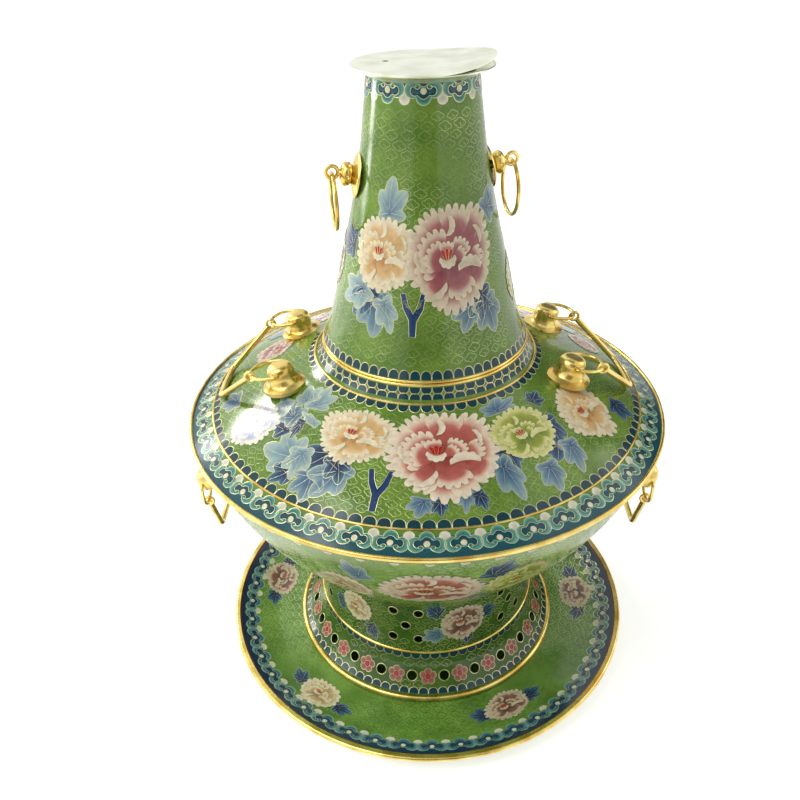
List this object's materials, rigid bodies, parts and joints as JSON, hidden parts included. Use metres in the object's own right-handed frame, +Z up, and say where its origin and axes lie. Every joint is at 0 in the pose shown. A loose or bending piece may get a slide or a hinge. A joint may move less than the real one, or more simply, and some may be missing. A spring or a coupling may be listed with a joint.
{
  "type": "chimney hot pot",
  "caption": "Cloisonne hot pot with a vented base in a dish, a charcoal tube through the bowl, a ring-shaped lid, a tall chimney with a damper plate, and swinging bail handles.",
  "frame": {"origin": "on the table, on the middle line of the dish and bowl", "axes": "+Z up along the chimney; +X towards the right-hand handles, -Y towards the front"},
  "size_m": [0.32, 0.32, 0.4248],
  "materials": {
    "cloisonne_enamel": "polished glass enamel on copper",
    "gilt_brass": "polished gilt brass",
    "pale_gilt": "pale gilt sheet, softly polished",
    "tinned_copper": "tinned copper, wiped",
    "cast_iron": "raw casting, fire-darkened"
  },
  "bodies": {
    "dish": {"dish": "cloisonne_enamel", "dish_rim": "gilt_brass", "dish_foot": "gilt_brass"},
    "pot": {"base_flare": "cloisonne_enamel", "base_drum": "cloisonne_enamel", "base_belt": "gilt_brass", "base_foot_rim": "gilt_brass", "bowl": "cloisonne_enamel", "bowl_rim": "gilt_brass", "fire_tube": "tinned_copper", "fire_tube_lip": "tinned_copper", "fire_grate": "cast_iron", "grate_ledge": "tinned_copper", "bowl_handle_studs": "gilt_brass", "bowl_stud_washers": "gilt_brass"},
    "lid": {"lid_dome": "cloisonne_enamel", "lid_rim": "gilt_brass", "lid_locating_lip": "tinned_copper", "lid_border_line": "gilt_brass", "lid_collar_line": "gilt_brass", "lid_collar_rim": "gilt_brass", "lid_handle_studs": "gilt_brass", "lid_stud_washers": "gilt_brass"},
    "chimney": {"chimney_cone": "cloisonne_enamel", "chimney_foot_ring": "gilt_brass", "chimney_flange": "pale_gilt", "chimney_rosette_right": "gilt_brass", "chimney_rosette_left": "gilt_brass", "chimney_eye_bolt_right": "gilt_brass", "chimney_eye_bolt_left": "gilt_brass", "chimney_bolt_nuts": "gilt_brass"},
    "damper_plate": {"chimney_damper_plate": "pale_gilt"},
    "chimney_ring_right": {"chimney_ring_right": "gilt_brass"},
    "chimney_ring_left": {"chimney_ring_left": "gilt_brass"},
    "lid_link_right_front": {"lid_link_right_front": "gilt_brass"},
    "lid_link_right_back": {"lid_link_right_back": "gilt_brass"},
    "lid_bail_right": {"lid_bail_right": "gilt_brass"},
    "lid_link_left_front": {"lid_link_left_front": "gilt_brass"},
    "lid_link_left_back": {"lid_link_left_back": "gilt_brass"},
    "lid_bail_left": {"lid_bail_left": "gilt_brass"},
    "bowl_link_right_front": {"bowl_link_right_front": "gilt_brass"},
    "bowl_link_right_back": {"bowl_link_right_back": "gilt_brass"},
    "bowl_bail_right": {"bowl_bail_right": "gilt_brass"},
    "bowl_link_left_front": {"bowl_link_left_front": "gilt_brass"},
    "bowl_link_left_back": {"bowl_link_left_back": "gilt_brass"},
    "bowl_bail_left": {"bowl_bail_left": "gilt_brass"}
  },
  "joints": [
    {"name": "pot_lift", "type": "slide", "parent": "dish", "child": "pot", "axis": [0, 0, 1], "range_m": [0, 0.06]},
    {"name": "lid_lift", "type": "slide", "parent": "pot", "child": "lid", "axis": [0, 0, 1], "range_m": [0, 0.12]},
    {"name": "chimney_lift", "type": "slide", "parent": "lid", "child": "chimney", "axis": [0, 0, 1], "range_m": [0, 0.1]},
    {"name": "damper_lift", "type": "slide", "parent": "chimney", "child": "damper_plate", "axis": [0, 0, 1], "range_m": [0, 0.06]},
    {"name": "chimney_ring_right_swing", "type": "hinge", "parent": "chimney", "child": "chimney_ring_right", "pos_m": [0.05286, 0.01027, 0.36275], "axis": [0.1908, -0.9816, 0], "range_deg": [-6, 80]},
    {"name": "chimney_ring_left_swing", "type": "hinge", "parent": "chimney", "child": "chimney_ring_left", "pos_m": [-0.05286, -0.01027, 0.36275], "axis": [-0.1908, 0.9816, 0], "range_deg": [-6, 80]},
    {"name": "lid_link_right_front_swing", "type": "hinge", "parent": "lid", "child": "lid_link_right_front", "pos_m": [0.09334, -0.02964, 0.24633], "axis": [0.0732, -0.9973, 0], "range_deg": [0, 95]},
    {"name": "lid_link_right_back_swing", "type": "hinge", "parent": "lid", "child": "lid_link_right_back", "pos_m": [0.08801, 0.04296, 0.24633], "axis": [0.0732, -0.9973, 0], "range_deg": [0, 95]},
    {"name": "lid_bail_right_swing", "type": "hinge", "parent": "lid_link_right_front", "child": "lid_bail_right", "pos_m": [0.11173, -0.03301, 0.24375], "axis": [0.0732, -0.9973, 0], "range_deg": [0, 70]},
    {"name": "lid_link_left_front_swing", "type": "hinge", "parent": "lid", "child": "lid_link_left_front", "pos_m": [-0.09213, -0.0332, 0.24633], "axis": [0.0349, 0.9994, 0], "range_deg": [0, 95]},
    {"name": "lid_link_left_back_swing", "type": "hinge", "parent": "lid", "child": "lid_link_left_back", "pos_m": [-0.08959, 0.03955, 0.24633], "axis": [0.0349, 0.9994, 0], "range_deg": [0, 95]},
    {"name": "lid_bail_left_swing", "type": "hinge", "parent": "lid_link_left_front", "child": "lid_bail_left", "pos_m": [-0.11038, -0.03727, 0.24375], "axis": [0.0349, 0.9994, 0], "range_deg": [0, 70]},
    {"name": "bowl_link_right_front_swing", "type": "hinge", "parent": "pot", "child": "bowl_link_right_front", "pos_m": [0.15114, -0.0417, 0.16373], "axis": [-0.0349, -0.9994, 0], "range_deg": [-5, 100]},
    {"name": "bowl_link_right_back_swing", "type": "hinge", "parent": "pot", "child": "bowl_link_right_back", "pos_m": [0.15368, 0.03106, 0.16373], "axis": [-0.0349, -0.9994, 0], "range_deg": [-5, 100]},
    {"name": "bowl_bail_right_swing", "type": "hinge", "parent": "bowl_link_right_front", "child": "bowl_bail_right", "pos_m": [0.15114, -0.0417, 0.14443], "axis": [-0.0349, -0.9994, 0], "range_deg": [-12, 75]},
    {"name": "bowl_link_left_front_swing", "type": "hinge", "parent": "pot", "child": "bowl_link_left_front", "pos_m": [-0.15184, -0.03906, 0.16373], "axis": [-0.0175, 0.9998, 0], "range_deg": [-5, 100]},
    {"name": "bowl_link_left_back_swing", "type": "hinge", "parent": "pot", "child": "bowl_link_left_back", "pos_m": [-0.15311, 0.03373, 0.16373], "axis": [-0.0175, 0.9998, 0], "range_deg": [-5, 100]},
    {"name": "bowl_bail_left_swing", "type": "hinge", "parent": "bowl_link_left_front", "child": "bowl_bail_left", "pos_m": [-0.15184, -0.03906, 0.14443], "axis": [-0.0175, 0.9998, 0], "range_deg": [-12, 75]}
  ],
  "couplings": [
    {"joint": "lid_link_right_back_swing", "follows": "lid_link_right_front_swing", "ratio": 1},
    {"joint": "lid_link_left_back_swing", "follows": "lid_link_left_front_swing", "ratio": 1},
    {"joint": "bowl_link_right_back_swing", "follows": "bowl_link_right_front_swing", "ratio": 1},
    {"joint": "bowl_link_left_back_swing", "follows": "bowl_link_left_front_swing", "ratio": 1}
  ]
}
